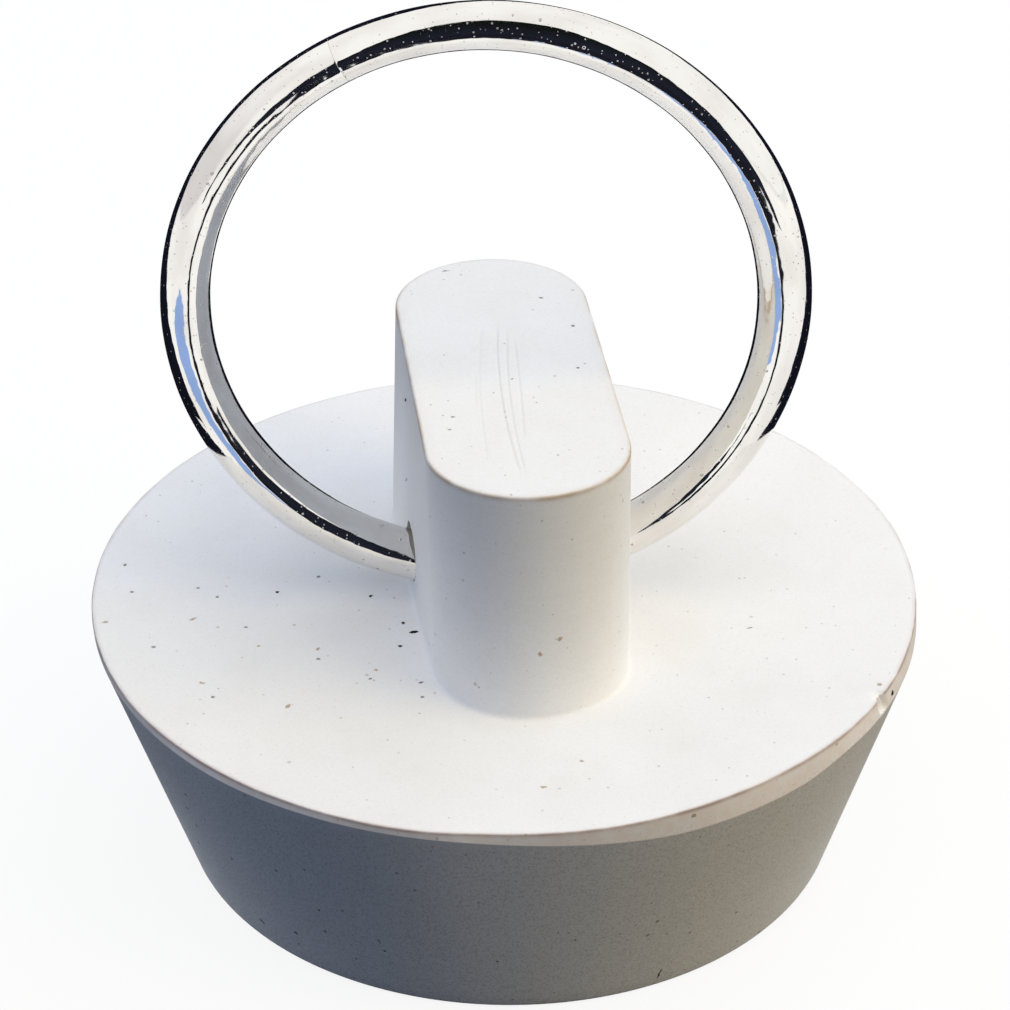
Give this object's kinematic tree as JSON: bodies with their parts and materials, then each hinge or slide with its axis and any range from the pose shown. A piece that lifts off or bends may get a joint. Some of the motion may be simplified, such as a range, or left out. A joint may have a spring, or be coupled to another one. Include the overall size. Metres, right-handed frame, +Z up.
{
  "type": "drain stopper",
  "caption": "Tapered white rubber drain stopper with an upright moulded lug and a bright wire pull ring that swings in a hole across the lug's foot.",
  "frame": {"origin": "middle of the plug's flat underside", "axes": "+Z up along the taper's axis; X along the hole that the ring swings in; the standing ring leans a little towards +Y"},
  "size_m": [0.0445, 0.0444, 0.0488],
  "materials": {
    "rubber": "matte moulded white rubber with fine specks",
    "plated_wire": "bright plating, lightly pitted"
  },
  "bodies": {
    "plug": {"rubber_plug": "rubber"},
    "ring": {"pull_ring": "plated_wire"}
  },
  "joints": [
    {"name": "ring_swing", "type": "hinge", "parent": "plug", "child": "ring", "pos_m": [0, 0, 0.01722], "axis": [1, 0, 0], "range_deg": [-89.4, 96.9]}
  ]
}
